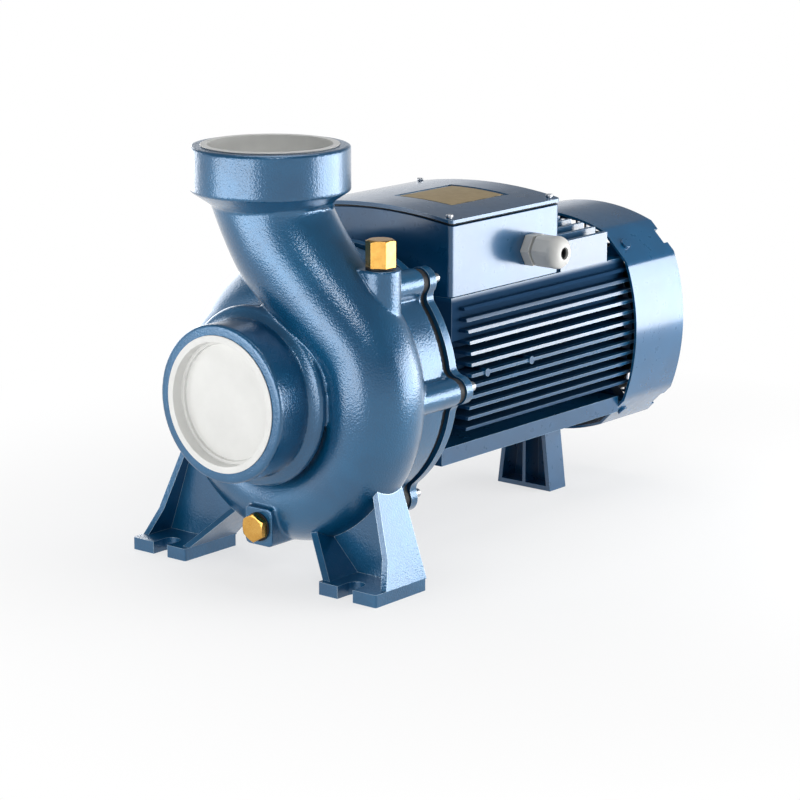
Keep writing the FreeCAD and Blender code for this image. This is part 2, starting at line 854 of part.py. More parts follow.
def lid_screw_spots():
    """Plan positions of the four lid screws."""
    reach = box_half_width - lid_screw_inset
    spots = []
    for x in (-reach, reach):
        for station in (box_front + lid_screw_inset, box_rear - lid_screw_inset):
            spots.append((x, station))
    return spots


def lid_screw_holes():
    """Clearance holes through the lid at its screw places."""
    radius = lid_screw_shank_radius + seat_gap
    holes = []
    for x, station in lid_screw_spots():
        low = Vector(x, at(station), box_side_top - lid_thickness)
        holes.append(rod(radius, low, Z_DIR, box_crest - box_side_top + 4 * lid_thickness))
    return holes


def arch_height(x, rise):
    """Height of the box's arch at x, raised by a rise."""
    sagitta = box_crest - box_side_top
    radius = (box_half_width ** 2 + sagitta ** 2) / (2 * sagitta)
    return box_crest + rise - radius + math.sqrt(radius ** 2 - x ** 2)


def lid_screws():
    """Four round-head screws that hold the lid."""
    screws = []
    for x, station in lid_screw_spots():
        seat = arch_height(abs(x) - lid_screw_radius, box_seal_thickness + lid_thickness)
        low = Vector(x, at(station), seat - lid_screw_length)
        shank = rod(lid_screw_shank_radius, low, Z_DIR, lid_screw_length + cast_overlap)
        head = rod(lid_screw_radius, Vector(x, at(station), seat), Z_DIR, lid_screw_height)
        screws.append(joined([shank, head]))
    return Part.makeCompound(screws)


def name_plate():
    """Bare metal plate in the lid's field."""
    rise = box_seal_thickness + lid_thickness - lid_recess_depth
    sheet = arched_sheet(box_half_width, box_front, box_rear, rise, plate_thickness)
    return sheet.common(plate_block(0.0, box_bottom, box_crest + lid_screw_length + cut_room))


def gland_body():
    """Plastic gland with its hexagon on the box's side."""
    start = Vector(gland_face, at(gland_station), gland_z)
    hexed = hexagon(gland_hex, start, X_DIR, gland_hex_length, 0)
    tube = rod(gland_tube_radius, start, X_DIR, gland_body_length)
    spigot = rod(gland_thread_radius, start, -X_DIR, gland_spigot_length)
    bore = rod(gland_hole_radius, start - X_DIR * gland_spigot_length, X_DIR,
               gland_spigot_length + gland_body_length)
    return joined([hexed, tube, spigot]).cut(bore)


def gland_cap():
    """Domed hexagonal cap of the gland."""
    start = Vector(gland_cap_start, at(gland_station), gland_z)
    length = gland_cap_length
    shoulder = length - gland_cap_round
    dome = turned(
        [(0.0, 0.0), (0.0, gland_cap_radius), (shoulder, gland_cap_radius),
         arc_middle((shoulder, gland_cap_radius - gland_cap_round), gland_cap_round, 45),
         (length, gland_cap_radius - gland_cap_round), (length, 0.0)], start, X_DIR, Z_DIR)
    flat_length = shoulder - gland_cap_tip
    flats = hexagon(gland_hex, start, X_DIR, flat_length, 0)
    tip = dome.common(rod(gland_cap_radius, start + X_DIR * flat_length, X_DIR, length))
    body = joined([dome.common(flats), tip])
    hollow = rod(gland_tube_radius + seat_gap, start, X_DIR,
                 gland_body_length - gland_hex_length - gland_gap + seat_gap)
    mouth = rod(gland_mouth_radius, start, X_DIR, length)
    return body.cut([hollow, mouth])


def gland_seal():
    """Dark rubber seal inside the cap."""
    tip = gland_cap_start + gland_cap_length
    start = Vector(tip - gland_seal_length, at(gland_station), gland_z)
    depth = gland_seal_length - gland_seal_recess
    sleeve = rod(gland_mouth_radius - gland_seal_clearance, start, X_DIR, depth)
    return sleeve.cut(rod(gland_seal_bore, start, X_DIR, depth))


def rear_shield():
    """End shield behind the frame with its bearing hub and four ears for the cowl."""
    start = frame_end
    disc = shaft_rod(shield_radius, start, start + shield_thickness)
    hub = shaft_rod(shield_hub_radius, start, start + shield_thickness + shield_hub_length)
    flat = cowl_half_width - cowl_drop()
    corner = (flat + cowl_corner_reach) / math.sqrt(2) - cowl_wall - seat_gap
    pieces = [disc, hub]
    for quarter in range(4):
        half = shield_ear_width / 2
        ear = Part.makeBox(corner - shield_ear_root, shield_thickness, shield_ear_width,
                           Vector(shield_ear_root, at(start), shaft_height - half))
        ear.rotate(shaft_point(0), Y_DIR, 45 + 90 * quarter)
        pieces.append(ear)
    body = joined(pieces)
    holes = [shaft_rod(shaft_radius + seat_gap, start, shaft_end)]
    for quarter in range(4):
        turn = 45 + 90 * quarter
        base = shaft_point(cowl_screw_station, corner - screw_hole_depth, turn)
        outward = shaft_point(0, 1.0, turn) - shaft_point(0)
        holes.append(rod(cowl_screw_radius + seat_gap, base, outward, screw_hole_depth + cut_room))
    return body.cut(holes)


def cowl_drop():
    """Fall of the cowl's round side from its middle to its corner."""
    return cowl_side_radius - math.sqrt(cowl_side_radius ** 2 - cowl_corner_reach ** 2)


def fan_cowl():
    """Cowl over the fan: bulged octagon shell with screw holes and rear notches."""
    outer = bulged_square(cowl_half_width, cowl_corner_reach, cowl_side_radius,
                          cowl_start, overall_length)
    inner_reach = cowl_corner_reach - cowl_corner_wall
    inner = bulged_square(cowl_half_width - cowl_wall, inner_reach, cowl_side_radius - cowl_wall,
                          cowl_start, overall_length - cowl_rear_lip)
    opening = bulged_square(cowl_half_width - cowl_wall - grille_inset,
                            inner_reach - grille_corner_inset,
                            cowl_side_radius - cowl_wall - grille_inset,
                            overall_length - cowl_rear_lip, overall_length)
    cuts = [inner, opening]
    flat = cowl_half_width - cowl_drop()
    corner = (flat + cowl_corner_reach) / math.sqrt(2)
    for quarter in range(4):
        turn = 45 + 90 * quarter
        outward = shaft_point(0, 1.0, turn) - shaft_point(0)
        base = shaft_point(cowl_screw_station, corner - screw_hole_depth, turn)
        cuts.append(rod(cowl_screw_radius + seat_gap, base, outward, screw_hole_depth + cut_room))
        notch = Part.makeBox(screw_hole_depth + cut_room, cowl_notch_depth, cowl_notch_width,
                             Vector(corner - screw_hole_depth, at(overall_length) - cowl_notch_depth,
                                    shaft_height - cowl_notch_width / 2))
        notch.rotate(shaft_point(0), Y_DIR, turn)
        cuts.append(notch)
    return outer.cut(cuts)


def fan_grille():
    """Square mesh that closes the back of the cowl."""
    rear = overall_length - cowl_rear_lip
    front = rear - grille_thickness
    half = cowl_half_width - cowl_wall - seat_gap
    reach = cowl_corner_reach - cowl_corner_wall - seat_gap
    round_side = cowl_side_radius - cowl_wall - seat_gap
    plate = bulged_square(half, reach, round_side, front, rear)
    drop = round_side - math.sqrt(round_side ** 2 - reach ** 2)
    limit = half - drop - grille_rim
    corner_limit = half - drop + reach - grille_rim * math.sqrt(2)
    count = int(limit // grille_pitch)
    hole = (grille_pitch - grille_bar) / 2
    holes = []
    for row in range(-count, count + 1):
        for column in range(-count, count + 1):
            x = column * grille_pitch
            z = row * grille_pitch
            if abs(x) + abs(z) + 2 * hole > corner_limit or max(abs(x), abs(z)) + hole > limit:
                continue
            holes.append(block(x - hole, x + hole, front, rear,
                               shaft_height + z - hole, shaft_height + z + hole))
    return plate.cut(Part.makeCompound(holes))


def cowl_screws():
    """Four screws that hold the cowl on the shield's ears."""
    flat = cowl_half_width - cowl_drop()
    corner = (flat + cowl_corner_reach) / math.sqrt(2)
    screws = []
    for quarter in range(4):
        turn = 45 + 90 * quarter
        outward = shaft_point(0, 1.0, turn) - shaft_point(0)
        seat = shaft_point(cowl_screw_station, corner, turn)
        head = rod(cowl_screw_head_radius, seat, outward, cowl_screw_head_height)
        start = shaft_point(cowl_screw_station, corner - cowl_screw_length, turn)
        shank = rod(cowl_screw_radius, start, outward, cowl_screw_length + cast_overlap)
        screws.append(joined([head, shank]))
    return Part.makeCompound(screws)


def cooling_fan():
    """Radial fan with straight blades on a back plate."""
    hub = shaft_rod(fan_hub_radius, fan_start, fan_end)
    plate = shaft_rod(fan_radius, fan_start, fan_start + fan_plate)
    pieces = [hub, plate]
    for blade in range(fan_blade_count):
        vane = Part.makeBox(fan_radius - fan_blade_inner, fan_end - fan_start, fan_blade_thickness,
                            Vector(fan_blade_inner, at(fan_start), shaft_height - fan_blade_thickness / 2))
        vane.rotate(shaft_point(0), Y_DIR, 360.0 * blade / fan_blade_count)
        pieces.append(vane)
    return joined(pieces).cut(shaft_rod(shaft_radius, fan_start, fan_end))


def fan_shaft():
    """Rear end of the motor shaft."""
    return shaft_rod(shaft_radius, frame_end, shaft_end)


def rear_foot():
    """Cast foot under the motor, open at the front with a middle rib."""
    rear = rear_foot_front + rear_foot_depth
    half_low = rear_foot_base_half
    half_high = rear_foot_top_half
    outer = prism_along_shaft(
        [(-half_low, 0), (half_low, 0), (half_high, base_bottom), (-half_high, base_bottom)],
        rear_foot_front, rear)
    wall = rear_foot_wall
    taper = (half_low - half_high) / base_bottom
    low = half_low - wall - taper * wall
    high = half_high - wall + taper * wall
    hollow = prism_along_shaft(
        [(-low, wall), (low, wall), (high, base_bottom - wall), (-high, base_bottom - wall)],
        rear_foot_front, rear - wall)
    rib = block(-rear_foot_rib / 2, rear_foot_rib / 2, rear_foot_front, rear, wall / 2,
                base_bottom - wall / 2)
    body = joined([outer.cut(hollow), rib])
    return body.cut(rear_bolt_rods(rear_bolt_radius + seat_gap, base_bottom - wall, base_bottom))


def rear_bolt_rods(radius, z0, z1):
    """Upright rods at the places of the rear foot's two bolts."""
    rods = []
    for x in (-rear_bolt_x, rear_bolt_x):
        rods.append(rod(radius, Vector(x, at(rear_bolt_station), z0), Z_DIR, z1 - z0))
    return rods


def rear_foot_bolts():
    """Two bolts from the foot up into the motor base."""
    under = base_bottom - rear_foot_wall
    bolts = []
    for shank in rear_bolt_rods(rear_bolt_radius, under, rear_bolt_top):
        x = shank.BoundBox.Center.x
        seat = Vector(x, at(rear_bolt_station), under - rear_bolt_head_height)
        head = hexagon(rear_bolt_head, seat, Z_DIR, rear_bolt_head_height, 30)
        bolts.append(joined([shank, head]))
    return Part.makeCompound(bolts)


def save(node, shape):
    """Write one piece of the pump to its own file."""
    shape.exportStep("parts/" + node + ".step")
    print(node, len(shape.Solids), round(shape.Volume / 1000.0, 1), "cm3", shape.isValid())


def build():
    """Make every piece and write it."""
    os.makedirs("parts", exist_ok=True)
    casing = volute_casing()
    foot = casing_foot().cut(casing)
    foot = max(foot.Solids, key=lambda solid: solid.Volume)
    left = mirrored(casing_foot()).cut(casing)
    left = max(left.Solids, key=lambda solid: solid.Volume)
    save("volute_casing", casing)
    save("casing_foot_right", foot)
    save("casing_foot_left", left)

    port_top = Vector(0, at(discharge_station), port_height)
    save("suction_port_plug", port_plug(shaft_point(0), Y_DIR, X_DIR, suction_plug_depth))
    save("discharge_port_plug", port_plug(port_top, -Z_DIR, X_DIR, discharge_plug_depth))

    priming_seat = Vector(priming_x, at(priming_station), priming_boss_top)
    drain_seat = Vector(0, at(drain_face_station), drain_z)
    save("priming_plug", threaded_plug(priming_seat, Z_DIR, priming_hex_height))
    save("priming_plug_washer", plug_washer(priming_seat, Z_DIR))
    save("drain_plug", threaded_plug(drain_seat, -Y_DIR, drain_hex_height))
    save("drain_plug_washer", plug_washer(drain_seat, -Y_DIR))

    save("casing_gasket", casing_gasket())
    save("motor_bracket", motor_bracket())
    for number, angle in enumerate(lug_angles, 1):
        save("casing_stud_%d" % number, casing_stud(angle))

    frame = motor_frame()
    base = motor_base().cut(frame)
    save("motor_frame", frame)
    bolt_room = rear_bolt_rods(rear_bolt_radius + seat_gap, base_bottom,
                               rear_bolt_top + rear_bolt_room)
    save("motor_base", base.cut(bolt_room))
    save("rear_shield", rear_shield())
    save("rear_foot", rear_foot())
    save("rear_foot_bolts", rear_foot_bolts())

    save("terminal_box", terminal_box())
    save("box_gasket", box_gasket())
    save("box_lid", box_lid())
    save("lid_screws", lid_screws())
    save("name_plate", name_plate())
    save("gland_body", gland_body())
    save("gland_cap", gland_cap())
    save("gland_seal", gland_seal())

    save("fan_cowl", fan_cowl())
    save("fan_grille", fan_grille())
    save("cowl_screws", cowl_screws())
    save("cooling_fan", cooling_fan())
    save("fan_shaft", fan_shaft())


build()
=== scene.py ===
import logging
import math
from dataclasses import dataclass
from enum import Enum
from typing import Optional, Sequence

import bmesh
import bpy
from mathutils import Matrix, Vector


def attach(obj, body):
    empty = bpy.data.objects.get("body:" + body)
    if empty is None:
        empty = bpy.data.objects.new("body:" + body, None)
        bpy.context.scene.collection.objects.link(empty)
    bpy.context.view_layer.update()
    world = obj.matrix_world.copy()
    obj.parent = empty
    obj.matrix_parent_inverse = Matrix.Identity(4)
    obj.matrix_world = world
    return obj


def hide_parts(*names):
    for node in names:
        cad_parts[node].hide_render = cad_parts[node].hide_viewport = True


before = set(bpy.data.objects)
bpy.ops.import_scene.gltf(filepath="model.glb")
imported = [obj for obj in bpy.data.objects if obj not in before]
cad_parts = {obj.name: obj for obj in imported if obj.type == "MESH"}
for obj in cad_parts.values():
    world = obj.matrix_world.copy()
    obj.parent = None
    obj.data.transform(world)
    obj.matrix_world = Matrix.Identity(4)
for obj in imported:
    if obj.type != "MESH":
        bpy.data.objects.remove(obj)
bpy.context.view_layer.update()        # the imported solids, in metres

BODY = "root"
MM = 0.001
WELD_MM = 0.002                  # corners closer than this are one corner
NOISE_LOW, NOISE_HIGH = 0.3, 0.7  # levels between which nearly all of a noise lies
RESIN_IOR = 1.5                  # typical of paint binders and moulded plastics
LOG = logging.getLogger("pump")


class Slot(Enum):
    """Material slots of the record."""

    CASING = "casing_enamel"
    MOTOR = "motor_enamel"
    COWL = "cowl_enamel"
    WHITE = "white_plastic"
    GREY = "grey_plastic"
    BRASS = "brass"
    ZINC = "zinc_steel"
    RUBBER = "seal_rubber"
    PLATE = "plate_metal"
    FAN = "fan_plastic"
    GRILLE = "grille_steel"
    SHAFT = "shaft_steel"


def linear(hex_colour: str) -> tuple[float, float, float, float]:
    """Turn an sRGB hex colour into linear values.

    Args:
        hex_colour: Colour such as "#1A2B3C".

    Returns:
        Red, green, blue and an alpha of 1.
    """
    values = [int(hex_colour[i:i + 2], 16) / 255 for i in (1, 3, 5)]
    red, green, blue = (v / 12.92 if v <= 0.04045 else ((v + 0.055) / 1.055) ** 2.4 for v in values)
    return red, green, blue, 1.0


def add_node(tree: bpy.types.NodeTree, kind: str, settings: Optional[dict] = None,
             links: Optional[dict] = None) -> bpy.types.Node:
    """Add a node with its settings and its incoming links.

    Args:
        tree: Node tree to add to.
        kind: Blender's name of the node type.
        settings: Properties by attribute name, or socket values by input name or number.
        links: Output sockets by the input's name or number that they feed.

    Returns:
        The new node.
    """
    node = tree.nodes.new(kind)
    for key, value in (settings or {}).items():
        if isinstance(key, str) and hasattr(node, key):
            setattr(node, key, value)
        else:
            node.inputs[key].default_value = value
    for key, socket in (links or {}).items():
        tree.links.new(socket, node.inputs[key])
    return node


def per_metre(size_mm: float) -> float:
    """Noise scale that gives features of a size in millimetres."""
    return 1.0 / (size_mm * MM)


def place_of(tree: bpy.types.NodeTree) -> bpy.types.NodeSocket:
    """Position in the object's own space, the same in every view."""
    return add_node(tree, "ShaderNodeTexCoord").outputs["Object"]


def noise_of(tree: bpy.types.NodeTree, size_mm: float, detail: float = 3.0,
             stretch: Sequence[float] = (1, 1, 1)) -> bpy.types.NodeSocket:
    """Noise from 0 to 1 with features of a real size.

    Args:
        tree: Node tree to add to.
        size_mm: Size of the features in millimetres.
        detail: Octaves of finer detail.
        stretch: Factors along X, Y and Z; a smaller one draws the features out.

    Returns:
        The noise's value socket.
    """
    mapped = add_node(tree, "ShaderNodeMapping", {"Scale": stretch}, {"Vector": place_of(tree)})
    noise = add_node(tree, "ShaderNodeTexNoise",
                     {"Scale": per_metre(size_mm), "Detail": detail, "Roughness": 0.55},
                     {"Vector": mapped.outputs["Vector"]})
    return noise.outputs[0]


def ramp_of(tree: bpy.types.NodeTree, value: bpy.types.NodeSocket, low: float, high: float,
            out_low: float = 0.0, out_high: float = 1.0) -> bpy.types.NodeSocket:
    """Map a value between two levels onto two other levels.

    Args:
        tree: Node tree to add to.
        value: Socket with the value.
        low: Value that gives out_low.
        high: Value that gives out_high.
        out_low: Result at the low end.
        out_high: Result at the high end.

    Returns:
        The mapped value's socket.
    """
    settings = {"clamp": True, "From Min": low, "From Max": high,
                "To Min": out_low, "To Max": out_high}
    return add_node(tree, "ShaderNodeMapRange", settings, {"Value": value}).outputs["Result"]


def edge_mask(tree: bpy.types.NodeTree, radius_mm: float, flat: float = 0.995,
              sharp: float = 0.80) -> bpy.types.NodeSocket:
    """How close a point lies to an edge, from 0 on a flat to 1 on the edge.

    Args:
        tree: Node tree to add to.
        radius_mm: Reach of the edge in millimetres.
        flat: Agreement of the rounded and the plain normal that counts as flat.
        sharp: Agreement that counts as the edge itself.

    Returns:
        The mask's socket.
    """
    rounded = add_node(tree, "ShaderNodeBevel", {"samples": 8, "Radius": radius_mm * MM})
    plain = add_node(tree, "ShaderNodeNewGeometry")
    turn = add_node(tree, "ShaderNodeVectorMath", {"operation": "DOT_PRODUCT"},
                    {0: rounded.outputs["Normal"], 1: plain.outputs["Normal"]})
    return ramp_of(tree, turn.outputs["Value"], flat, sharp)


def blend_colour(tree: bpy.types.NodeTree, share: bpy.types.NodeSocket, first: object,
                 second: object) -> bpy.types.NodeSocket:
    """Blend two colours by a share.

    Args:
        tree: Node tree to add to.
        share: Socket with the share of the second colour.
        first: Colour values, or a socket.
        second: Colour values, or a socket.

    Returns:
        The blended colour's socket.
    """
    mix = add_node(tree, "ShaderNodeMix", {"data_type": "RGBA"}, {0: share})
    for number, colour in ((6, first), (7, second)):      # the node's two colour inputs
        if isinstance(colour, bpy.types.NodeSocket):
            tree.links.new(colour, mix.inputs[number])
        else:
            mix.inputs[number].default_value = colour
    return mix.outputs[2]


def bump_of(tree: bpy.types.NodeTree, height: bpy.types.NodeSocket, depth_mm: float,
            under: Optional[bpy.types.NodeSocket] = None) -> bpy.types.NodeSocket:
    """Bump of a real depth.

    Args:
        tree: Node tree to add to.
        height: Socket with the height from 0 to 1.
        depth_mm: Depth of the relief in millimetres.
        under: Normal of another bump that this one lies on.

    Returns:
        The normal's socket.
    """
    links = {"Height": height}
    if under is not None:
        links["Normal"] = under
    return add_node(tree, "ShaderNodeBump", {"Strength": 1.0, "Distance": depth_mm * MM},
                    links).outputs["Normal"]


def new_material(name: str) -> tuple[bpy.types.Material, bpy.types.NodeTree, bpy.types.Node]:
    """Start a node material.

    Args:
        name: Name of the material.

    Returns:
        The material, its tree and its main shader.
    """
    material = bpy.data.materials.new(name)
    material.use_nodes = True
    tree = material.node_tree
    return material, tree, tree.nodes["Principled BSDF"]


@dataclass(frozen=True)
class FinGapShade:
    """Painted shade in the gaps between cooling fins: a darker colour there, with less gloss and a
    rougher coat.
    """

    # darker colour painted as shade deep between the fins
    colour: str = "#08304F"
    half_width_mm: float = 93.0
    crest_mm: float = 225.0
    front_mm: float = -64.0
    fade_mm: float = 5.0
    roughness: float = 0.75
    gloss: float = 0.12

    def mask(self, tree: bpy.types.NodeTree) -> bpy.types.NodeSocket:
        """Share of the painted shade: 1 deep in the gaps, falling to 0 at the fins' tips.

        Args:
            tree: Node tree to add to.

        Returns:
            The mask's socket.
        """
        place = add_node(tree, "ShaderNodeSeparateXYZ", None, {"Vector": place_of(tree)})
        across = add_node(tree, "ShaderNodeMath", {"operation": "ABSOLUTE"},
                          {0: place.outputs["X"]})
        sides = ramp_of(tree, across.outputs[0], (self.half_width_mm - self.fade_mm) * MM,
                        self.half_width_mm * MM, 1.0, 0.0)
        top = ramp_of(tree, place.outputs["Z"], (self.crest_mm - self.fade_mm) * MM,
                      self.crest_mm * MM, 1.0, 0.0)
        front = ramp_of(tree, place.outputs["Y"], self.front_mm * MM,
                        (self.front_mm + self.fade_mm) * MM)
        below = add_node(tree, "ShaderNodeMath", {"operation": "MULTIPLY"}, {0: sides, 1: top})
        return add_node(tree, "ShaderNodeMath", {"operation": "MULTIPLY"},
                        {0: below.outputs[0], 1: front}).outputs[0]


@dataclass(frozen=True)
class Enamel:
    """Stoved enamel: a sprayed paint film with orange peel, and a painted highlight that pales its
    colour along edges.

    The metallic share stands in for the deep blue that such a film reflects.
    """

    name: str
    colour: str
    deep: str
    # colour of the painted highlight along edges
    edge: str
    roughness: float = 0.34
    metallic: float = 0.0
    peel_mm: float = 1.6
    peel_depth_mm: float = 0.012
    grain_mm: float = 0.7
    grain_depth_mm: float = 0.0
    edge_mm: float = 0.9
    painted_highlight_from: float = 0.1
    painted_highlight_share: float = 0.85
    patch_mm: float = 60.0
    patch_low: float = 0.35
    patch_high: float = 0.65
    wear_mm: float = 9.0
    smoother: float = 0.04
    rougher: float = 0.05
    coat_roughness: float = 0.16
    coat_ior: float = 1.6
    specular: float = 0.25
    fin_gap_shade: Optional[FinGapShade] = None

    def make(self) -> bpy.types.Material:
        """Build the material.

        Returns:
            The finished material.
        """
        material, tree, shader = new_material(self.name)
        drift = ramp_of(tree, noise_of(tree, self.patch_mm, 2.0), self.patch_low, self.patch_high)
        film = blend_colour(tree, drift, linear(self.deep), linear(self.colour))
        # Painted highlight: near edges the colour turns towards the pale edge colour
        edge_highlight_mask = edge_mask(tree, self.edge_mm)
        share = ramp_of(tree, edge_highlight_mask, self.painted_highlight_from, 1.0, 0.0, self.painted_highlight_share)
        colour = blend_colour(tree, share, film, linear(self.edge))
        worn = ramp_of(tree, noise_of(tree, self.wear_mm, 4.0), NOISE_LOW, NOISE_HIGH,
                       self.roughness - self.smoother, self.roughness + self.rougher)
        if self.fin_gap_shade:
            # Painted shade between the fins: a darker colour, with a rougher coat and less gloss
            gap_shade = self.fin_gap_shade.mask(tree)
            colour = blend_colour(tree, gap_shade, colour, linear(self.fin_gap_shade.colour))
            worn = add_node(tree, "ShaderNodeMix",
                            {"data_type": "FLOAT", 3: self.fin_gap_shade.roughness},
                            {0: gap_shade, 2: worn}).outputs[0]
            coat = ramp_of(tree, gap_shade, 0.0, 1.0, self.coat_roughness, self.fin_gap_shade.roughness)
            tree.links.new(coat, shader.inputs["Coat Roughness"])
            gap_coat_weight = ramp_of(tree, gap_shade, 0.0, 1.0, 1.0, self.fin_gap_shade.gloss)
            tree.links.new(gap_coat_weight, shader.inputs["Coat Weight"])
            shine = ramp_of(tree, gap_shade, 0.0, 1.0, self.specular, self.specular * self.fin_gap_shade.gloss)
            tree.links.new(shine, shader.inputs["Specular IOR Level"])
        tree.links.new(colour, shader.inputs["Base Color"])
        tree.links.new(worn, shader.inputs["Roughness"])
        normal = bump_of(tree, noise_of(tree, self.peel_mm, 2.0), self.peel_depth_mm)
        if self.grain_depth_mm:
            normal = bump_of(tree, noise_of(tree, self.grain_mm, 1.0), self.grain_depth_mm, normal)
        tree.links.new(normal, shader.inputs["Normal"])
        shader.inputs["Metallic"].default_value = self.metallic
        shader.inputs["IOR"].default_value = RESIN_IOR
        shader.inputs["Specular IOR Level"].default_value = self.specular
        shader.inputs["Coat Weight"].default_value = 1.0
        shader.inputs["Coat IOR"].default_value = self.coat_ior
        shader.inputs["Coat Roughness"].default_value = self.coat_roughness
        tree.links.new(normal, shader.inputs["Coat Normal"])
        return material


@dataclass(frozen=True)
class Plastic:
    """Injection-moulded plastic: even colour, a fine spark-eroded skin and soft gloss."""

    name: str
    colour: str
    shade: str
    roughness: float = 0.45
    skin_mm: float = 0.5
    skin_depth_mm: float = 0.006
    flow_mm: float = 22.0
    gloss_mm: float = 6.0
    gloss_swing: float = 0.05
    scatter: float = 0.0
    scatter_depth_mm: float = 1.5
    scatter_even: tuple[float, float, float] = (0.6, 0.6, 0.6)

    def make(self) -> bpy.types.Material:
        """Build the material.

        Returns:
            The finished material.
        """
        material, tree, shader = new_material(self.name)
        flow = ramp_of(tree, noise_of(tree, self.flow_mm, 3.0), NOISE_LOW, NOISE_HIGH)
        colour = blend_colour(tree, flow, linear(self.shade), linear(self.colour))
        tree.links.new(colour, shader.inputs["Base Color"])
        gloss = ramp_of(tree, noise_of(tree, self.gloss_mm, 3.0), NOISE_LOW, NOISE_HIGH,
                        self.roughness - self.gloss_swing, self.roughness + self.gloss_swing)
        tree.links.new(gloss, shader.inputs["Roughness"])
        normal = bump_of(tree, noise_of(tree, self.skin_mm, 2.0), self.skin_depth_mm)
        tree.links.new(normal, shader.inputs["Normal"])
        shader.inputs["IOR"].default_value = RESIN_IOR
        if self.scatter:
            shader.inputs["Subsurface Weight"].default_value = self.scatter
            shader.inputs["Subsurface Radius"].default_value = self.scatter_even
            shader.inputs["Subsurface Scale"].default_value = self.scatter_depth_mm * MM
        return material


@dataclass(frozen=True)
class Metal:
    """Bare or plated metal: cutter lines or a plating grain, with brighter rubbed edges."""

    name: str
    colour: str
    shade: str
    edge: str
    roughness: float = 0.25
    line_mm: float = 0.35
    line_depth_mm: float = 0.004
    stretch: tuple[float, float, float] = (1.0, 1.0, 1.0)
    tarnish_mm: float = 7.0
    smoother: float = 0.05
    rougher: float = 0.08
    edge_mm: float = 0.5

    def make(self) -> bpy.types.Material:
        """Build the material.

        Returns:
            The finished material.
        """
        material, tree, shader = new_material(self.name)
        tarnish = ramp_of(tree, noise_of(tree, self.tarnish_mm, 4.0), NOISE_LOW, NOISE_HIGH)
        body = blend_colour(tree, tarnish, linear(self.shade), linear(self.colour))
        colour = blend_colour(tree, edge_mask(tree, self.edge_mm), body, linear(self.edge))
        tree.links.new(colour, shader.inputs["Base Color"])
        lines = noise_of(tree, self.line_mm, 2.0, self.stretch)
        gloss = ramp_of(tree, lines, NOISE_LOW, NOISE_HIGH, self.roughness - self.smoother,
                        self.roughness + self.rougher)
        tree.links.new(gloss, shader.inputs["Roughness"])
        tree.links.new(bump_of(tree, lines, self.line_depth_mm), shader.inputs["Normal"])
        shader.inputs["Metallic"].default_value = 1.0
        return material


@dataclass(frozen=True)
class Rubber:
    """Moulded nitrile rubber: near black, dull, with a faint bloom."""

    name: str
    colour: str = "#101114"
    bloom: str = "#1E2024"
    bloom_mm: float = 4.0
    bloom_from: float = 0.45
    bloom_to: float = 0.75
    gloss_mm: float = 3.0
    roughness: tuple[float, float] = (0.55, 0.7)
    skin_mm: float = 0.6
    skin_depth_mm: float = 0.01

    def make(self) -> bpy.types.Material:
        """Build the material.

        Returns:
            The finished material.
        """
        material, tree, shader = new_material(self.name)
        dust = ramp_of(tree, noise_of(tree, self.bloom_mm, 4.0), self.bloom_from, self.bloom_to)
        colour = blend_colour(tree, dust, linear(self.colour), linear(self.bloom))
        tree.links.new(colour, shader.inputs["Base Color"])
        gloss = ramp_of(tree, noise_of(tree, self.gloss_mm, 2.0), NOISE_LOW, NOISE_HIGH,
                        *self.roughness)
        tree.links.new(gloss, shader.inputs["Roughness"])
        skin = bump_of(tree, noise_of(tree, self.skin_mm, 2.0), self.skin_depth_mm)
        tree.links.new(skin, shader.inputs["Normal"])
        return material


def refined_copy(node: str, name: str, bevel_mm: float, segments: int = 2,
                 angle: float = 32.0) -> bpy.types.Object:
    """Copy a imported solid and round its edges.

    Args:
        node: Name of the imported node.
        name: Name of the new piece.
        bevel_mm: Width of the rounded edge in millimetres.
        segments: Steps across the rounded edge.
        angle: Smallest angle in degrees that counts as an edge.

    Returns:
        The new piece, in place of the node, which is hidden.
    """
    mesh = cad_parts[node].data.copy()
    mesh.name = name
    mesh.materials.clear()
    welded(mesh)
    piece = bpy.data.objects.new(name, mesh)
    bpy.context.scene.collection.objects.link(piece)
    bevel = piece.modifiers.new("edge", "BEVEL")
    bevel.width = bevel_mm * MM
    bevel.segments = segments
    bevel.limit_method = "ANGLE"
    bevel.angle_limit = math.radians(angle)
    bevel.miter_outer = "MITER_ARC"
    bevel.use_clamp_overlap = True
    piece.modifiers.new("even", "WEIGHTED_NORMAL").keep_sharp = True
    mesh.shade_smooth()
    apply_modifiers(piece)
    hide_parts(node)
    return piece


def welded(mesh: bpy.types.Mesh, flat_angle: float = 1.0) -> None:
    """Join split corners of a mesh and clear the lines inside its flats.

    Args:
        mesh: Mesh to clean.
        flat_angle: Largest angle in degrees between faces that count as one flat.
    """
    tidy = bmesh.new()
    tidy.from_mesh(mesh)
    bmesh.ops.remove_doubles(tidy, verts=tidy.verts, dist=WELD_MM * MM)
    bmesh.ops.dissolve_limit(tidy, angle_limit=math.radians(flat_angle), verts=tidy.verts,
                             edges=tidy.edges)
    tidy.to_mesh(mesh)
    tidy.free()


def apply_modifiers(piece: bpy.types.Object) -> None:
    """Bake a piece's modifiers into its mesh.

    Args:
        piece: Piece whose modifiers are baked.
    """
    graph = bpy.context.evaluated_depsgraph_get()
    made = bpy.data.meshes.new_from_object(piece.evaluated_get(graph), depsgraph=graph)
    old = piece.data
    made.validate()          # drops doubled and collapsed faces left by the thinning
    made.name = old.name
    piece.modifiers.clear()
    piece.data = made
    bpy.data.meshes.remove(old)


